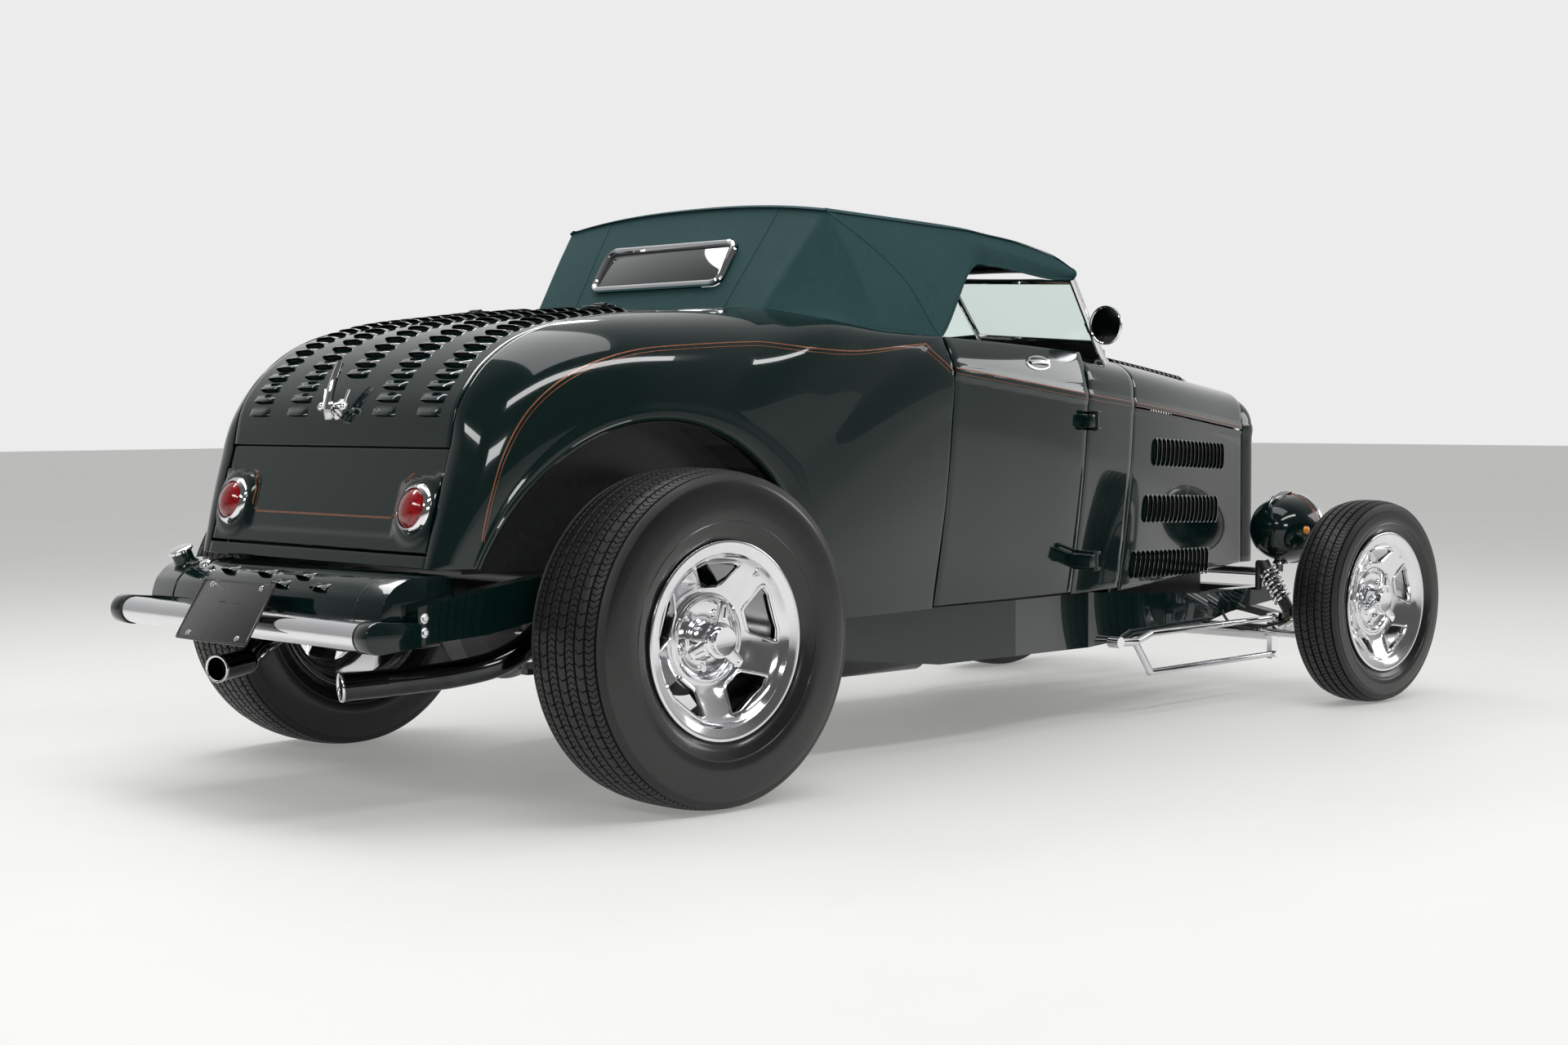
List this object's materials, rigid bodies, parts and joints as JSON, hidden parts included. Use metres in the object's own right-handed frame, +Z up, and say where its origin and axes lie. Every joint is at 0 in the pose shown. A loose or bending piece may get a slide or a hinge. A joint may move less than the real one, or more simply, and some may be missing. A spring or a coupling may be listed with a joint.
{
  "type": "street rod roadster with soft top",
  "caption": "Open-wheel street rod roadster with a canvas top, a louvered deck lid and hood, solid front axle, wide rear tyres and a tube bumper.",
  "frame": {"origin": "on the ground under the middle of the whole car", "axes": "+X forward, +Y to the left side, +Z up"},
  "size_m": [3.785, 1.697, 1.402],
  "materials": {
    "body_paint": "gloss",
    "chrome": "polished",
    "tyre_rubber": "matte",
    "polished_aluminium": "polished",
    "black_steel": "satin",
    "plate_black": "gloss",
    "canvas": "woven",
    "seat_leather": "soft",
    "trim_black": "satin",
    "red_lens": "gloss",
    "window_glass": "clear"
  },
  "bodies": {
    "body": {"frame_rails": "body_paint", "crossmembers": "black_steel", "front_axle": "chrome", "radius_rods": "chrome", "front_suspension": "black_steel", "rear_axle": "black_steel", "rear_suspension": "black_steel", "driveline": "black_steel", "engine": "black_steel", "exhaust_pipes": "chrome", "fuel_tank": "body_paint", "rear_bumper": "chrome", "license_plate": "plate_black", "floor_pan": "black_steel", "wheel_tubs": "black_steel", "cowl": "body_paint", "quarter_right": "body_paint", "quarter_left": "body_paint", "rear_deck": "body_paint", "hood_side_right": "body_paint", "hood_side_left": "body_paint", "radiator_shell": "body_paint", "radiator_grille": "chrome", "headlights": "body_paint", "windshield_frame": "chrome", "windshield_glass": "window_glass", "mirrors": "chrome", "soft_top": "canvas", "rear_window": "chrome", "seat_cushion": "seat_leather", "seat_back": "seat_leather", "dashboard": "body_paint", "steering_wheel": "trim_black"},
    "knuckle_right": {"knuckle_right": "black_steel"},
    "knuckle_left": {"knuckle_left": "black_steel"},
    "tie_rod": {"tie_rod": "chrome"},
    "wheel_front_right": {"tyre_front_right": "tyre_rubber", "rim_front_right": "polished_aluminium"},
    "wheel_front_left": {"tyre_front_left": "tyre_rubber", "rim_front_left": "polished_aluminium"},
    "wheel_rear_right": {"tyre_rear_right": "tyre_rubber", "rim_rear_right": "polished_aluminium"},
    "wheel_rear_left": {"tyre_rear_left": "tyre_rubber", "rim_rear_left": "polished_aluminium"},
    "door_right": {"door_right": "body_paint"},
    "door_left": {"door_left": "body_paint"},
    "deck_lid": {"deck_lid": "body_paint", "tail_lights": "red_lens"},
    "hood_top_right": {"hood_top_right": "body_paint"},
    "hood_top_left": {"hood_top_left": "body_paint"}
  },
  "joints": [
    {"name": "steer_right", "type": "hinge", "parent": "body", "child": "knuckle_right", "pos_m": [1.5895, -0.645, 0.303], "axis": [0, 0, 1], "range_deg": [-30, 30]},
    {"name": "steer_left", "type": "hinge", "parent": "body", "child": "knuckle_left", "pos_m": [1.5895, 0.645, 0.303], "axis": [0, 0, 1], "range_deg": [-30, 30]},
    {"name": "tie_rod_pivot", "type": "hinge", "parent": "knuckle_right", "child": "tie_rod", "pos_m": [1.4395, -0.61, 0.221], "axis": [0, 0, 1], "range_deg": [-30, 30]},
    {"name": "spin_front_right", "type": "hinge", "parent": "knuckle_right", "child": "wheel_front_right", "pos_m": [1.5895, -0.738, 0.303], "axis": [0, 1, 0], "continuous": true},
    {"name": "spin_front_left", "type": "hinge", "parent": "knuckle_left", "child": "wheel_front_left", "pos_m": [1.5895, 0.738, 0.303], "axis": [0, 1, 0], "continuous": true},
    {"name": "spin_rear_right", "type": "hinge", "parent": "body", "child": "wheel_rear_right", "pos_m": [-1.1025, -0.726, 0.378], "axis": [0, 1, 0], "continuous": true},
    {"name": "spin_rear_left", "type": "hinge", "parent": "body", "child": "wheel_rear_left", "pos_m": [-1.1025, 0.726, 0.378], "axis": [0, 1, 0], "continuous": true},
    {"name": "door_right_hinge", "type": "hinge", "parent": "body", "child": "door_right", "pos_m": [0.4565, -0.604, 0.66], "axis": [0, 0, 1], "range_deg": [0, 65]},
    {"name": "door_left_hinge", "type": "hinge", "parent": "body", "child": "door_left", "pos_m": [0.4565, 0.604, 0.66], "axis": [0, 0, -1], "range_deg": [0, 65]},
    {"name": "deck_lid_hinge", "type": "hinge", "parent": "body", "child": "deck_lid", "pos_m": [-0.9755, 0, 1.132], "axis": [0, 1, 0], "range_deg": [0, 45]},
    {"name": "hood_right_hinge", "type": "hinge", "parent": "body", "child": "hood_top_right", "pos_m": [0.7315, 0, 1.037], "axis": [-0.9946, 0, 0.1035], "range_deg": [0, 60]},
    {"name": "hood_left_hinge", "type": "hinge", "parent": "body", "child": "hood_top_left", "pos_m": [0.7315, 0, 1.037], "axis": [0.9946, 0, -0.1035], "range_deg": [0, 60]}
  ],
  "couplings": [
    {"joint": "steer_left", "follows": "steer_right", "ratio": 1},
    {"joint": "tie_rod_pivot", "follows": "steer_right", "ratio": -1}
  ]
}
